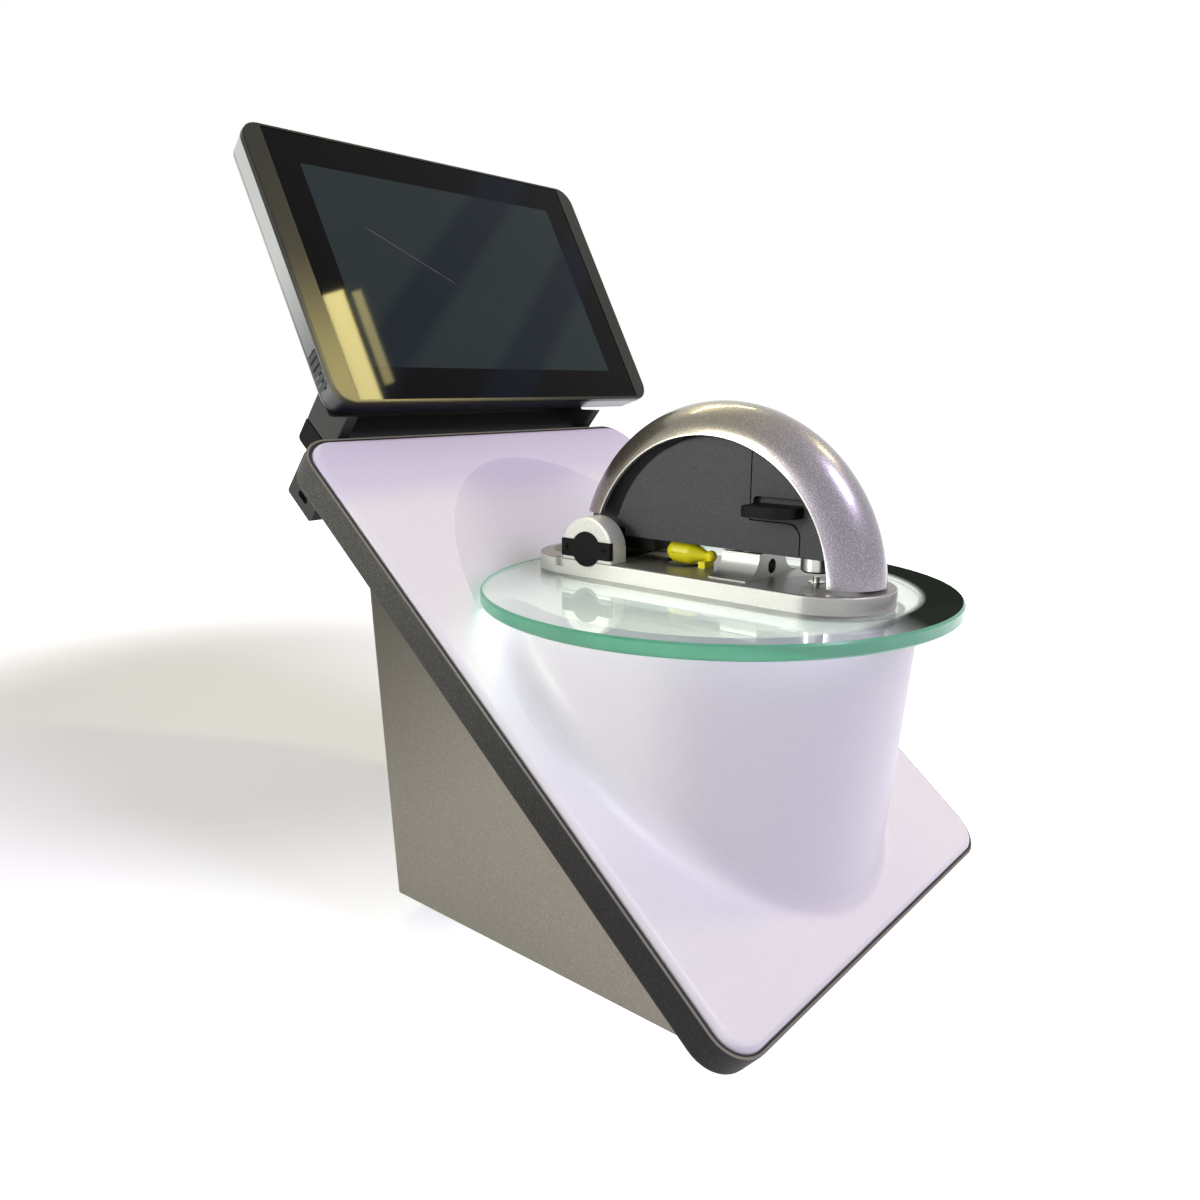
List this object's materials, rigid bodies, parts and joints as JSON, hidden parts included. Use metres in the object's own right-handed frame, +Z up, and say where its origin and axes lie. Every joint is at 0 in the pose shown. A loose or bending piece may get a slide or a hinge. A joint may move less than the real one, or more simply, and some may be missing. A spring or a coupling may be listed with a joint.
{
  "type": "microvolume spectrophotometer",
  "caption": "Bench instrument with a sloping white front on a wedge stand, a round glass sampling table, a lifting optical arm and a tilting, sliding touch display.",
  "frame": {"origin": "middle of the underside of the feet: centre of the whole outline at rest, on the bench", "axes": "+X to the right as the user faces the display, +Y to the back, +Z up"},
  "size_m": [0.217, 0.2856, 0.3111],
  "materials": {
    "cover_white": "moulded cover, satin white lacquer",
    "tray_dark": "fine textured dark metallic lacquer",
    "seal_black": "soft black seal",
    "table_glass": "clear glass with green polished edge",
    "foam_white": "thin foam tape",
    "deck_silver": "casting, fine silver flake lacquer",
    "steel": "turned or rolled steel",
    "cap_black": "moulded black",
    "screw_black": "blackened steel",
    "washer_white": "low friction plastic",
    "core_charcoal": "finely grained charcoal moulding",
    "arm_champagne": "champagne metallic lacquer, glossy",
    "tab_black": "black moulded tab",
    "holder_silver": "fine blasted aluminium",
    "boot_yellow": "yellow moulded boot",
    "rubber_black": "soft black rubber",
    "stand_grey": "smooth warm grey metallic lacquer",
    "zinc_plate": "zinc plated sheet",
    "board_green": "circuit board",
    "port_black": "black panel",
    "socket_steel": "tinned steel shell",
    "socket_black": "black moulding",
    "button_grey": "grey moulded push button",
    "optics_black": "black anodised housing",
    "hinge_dark": "dark textured lacquer",
    "carrier_dark": "dark smooth lacquer",
    "hinge_textured": "coarse textured dark moulding",
    "display_grey": "brushed silver grey",
    "bezel_brushed": "brushed dark strip",
    "display_glass": "black printed cover glass",
    "screen_dark": "dark liquid crystal panel",
    "runner_black": "black sliding shoe"
  },
  "bodies": {
    "base": {"front_cover": "cover_white", "frame_tray": "tray_dark", "cover_gasket": "seal_black", "glass_table": "table_glass", "glass_pad": "foam_white", "deck": "deck_silver", "deck_screws": "steel", "hinge_cap_left": "cap_black", "hinge_cap_right": "cap_black", "hinge_cap_screws": "screw_black", "hinge_shaft": "steel", "friction_washer_left": "washer_white", "friction_washer_right": "washer_white", "pedestal_disc": "steel", "lower_pedestal": "steel", "cuvette_holder": "holder_silver", "cuvette_spring": "steel", "fibre_boot": "boot_yellow", "boot_grommet": "rubber_black", "stand": "stand_grey", "base_plate": "zinc_plate", "main_board": "board_green", "port_panel": "port_black", "port_board": "board_green", "network_socket": "socket_steel", "power_inlet": "socket_black", "power_switch": "socket_black", "optics_bracket": "zinc_plate", "spectrometer": "optics_black", "flash_lamp": "optics_black", "hinge_bracket": "hinge_dark", "tilt_axle": "steel", "usb_socket_1": "socket_steel", "usb_socket_2": "socket_steel", "foot_1": "rubber_black", "foot_2": "rubber_black", "foot_3": "rubber_black", "foot_4": "rubber_black"},
    "arm": {"arm_barrel": "core_charcoal", "arm_shell": "arm_champagne", "arm_core": "core_charcoal", "arm_nose": "core_charcoal", "lift_tab": "tab_black", "upper_pedestal": "steel"},
    "display_mount": {"tilt_carrier": "carrier_dark", "display_arm": "hinge_textured", "display_rail": "steel"},
    "display": {"display_shell": "display_grey", "display_bezel": "bezel_brushed", "display_glass": "display_glass", "display_screen": "screen_dark", "display_board": "board_green", "display_screws": "steel", "display_runner_1": "runner_black", "display_runner_2": "runner_black"},
    "button": {"power_button": "button_grey"}
  },
  "joints": [
    {"name": "arm_lift", "type": "hinge", "parent": "base", "child": "arm", "pos_m": [-0.00865, -0.00507, 0.1428], "axis": [-1, 0, 0], "range_deg": [0, 60]},
    {"name": "display_tilt", "type": "hinge", "parent": "base", "child": "display_mount", "pos_m": [-0.00865, 0.10275, 0.17496], "axis": [-1, 0, 0], "range_deg": [0, 20]},
    {"name": "display_slide", "type": "slide", "parent": "display_mount", "child": "display", "axis": [1, 0, 0], "range_m": [-0.047, 0.013]},
    {"name": "power_button", "type": "slide", "parent": "base", "child": "button", "axis": [0, -1, 0], "range_m": [0, 0.0015], "stiffness_N_per_m": 400, "springref_m": -0.001}
  ]
}
